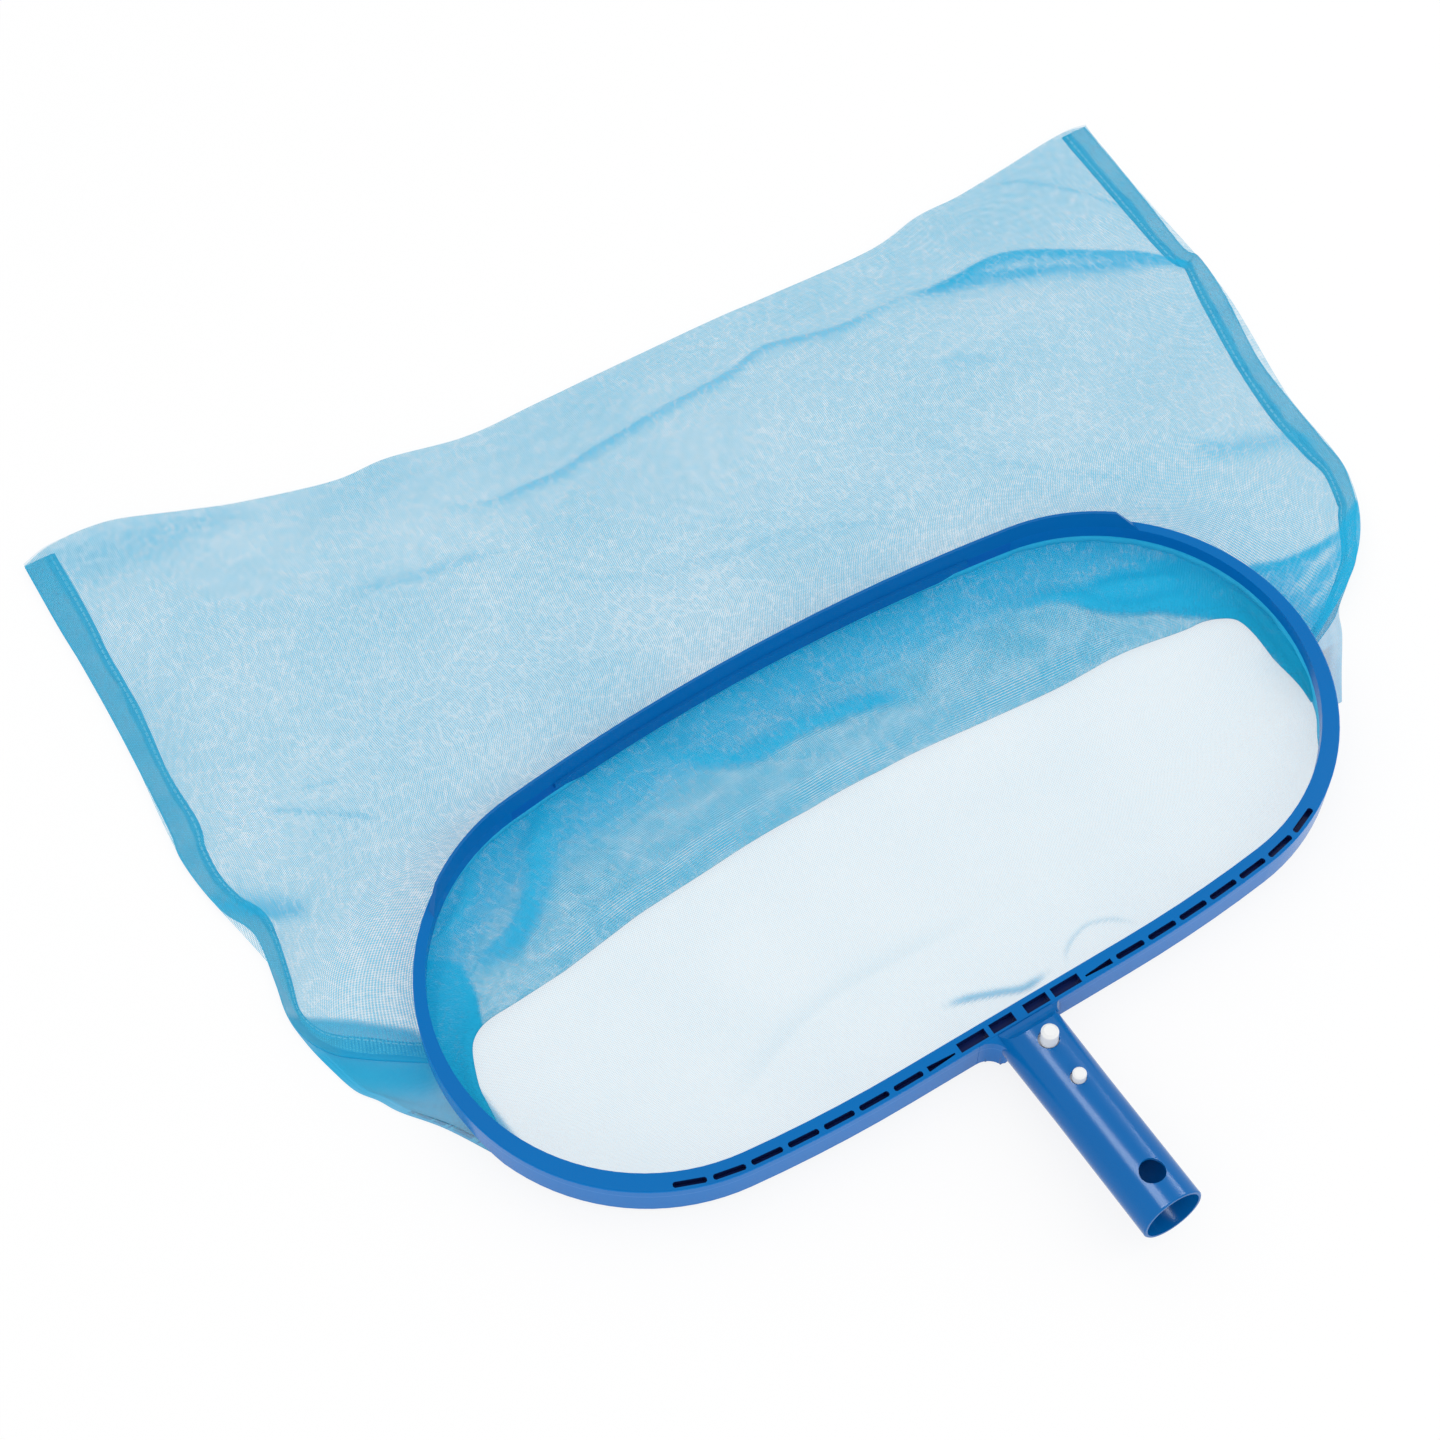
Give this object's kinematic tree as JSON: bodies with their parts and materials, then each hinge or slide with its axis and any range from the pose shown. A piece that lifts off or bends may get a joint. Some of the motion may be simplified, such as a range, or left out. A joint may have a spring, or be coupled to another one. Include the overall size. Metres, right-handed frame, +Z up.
{
  "type": "leaf skimmer net",
  "caption": "Wide oval pool skimmer hoop with a scoop lip, a deep fine-mesh bag and a short tubular shank whose sprung clip locks it into a pole.",
  "frame": {"origin": "centre of the shank's open mouth, on the tube's axis", "axes": "+Y from the shank towards the bag, +Z up with the net lying on its back on the floor, +X along the hoop's long side"},
  "size_m": [0.561, 0.5303, 0.0388],
  "materials": {
    "blue_plastic": "satin moulded plastic",
    "white_nylon": "smooth",
    "mesh": "fine woven mesh",
    "seam": "folded and stitched mesh",
    "cord": "braided cord"
  },
  "bodies": {
    "net_frame": {"frame_hoop": "blue_plastic", "pole_shank": "blue_plastic", "scoop_lip": "blue_plastic", "hem_strip": "blue_plastic", "hem_cord": "cord", "mouth_hem": "seam", "net_lower_panel": "mesh", "net_upper_panel": "mesh", "side_seam_left": "seam", "side_seam_right": "seam", "clip_leg": "white_nylon"},
    "latch": {"latch_lever": "white_nylon"}
  },
  "joints": [
    {"name": "latch_hinge", "type": "hinge", "parent": "net_frame", "child": "latch", "pos_m": [0, 0.03973, 0.00722], "axis": [-1, 0, 0], "range_deg": [0, 9.2], "stiffness_Nm_per_rad": 2.4}
  ]
}
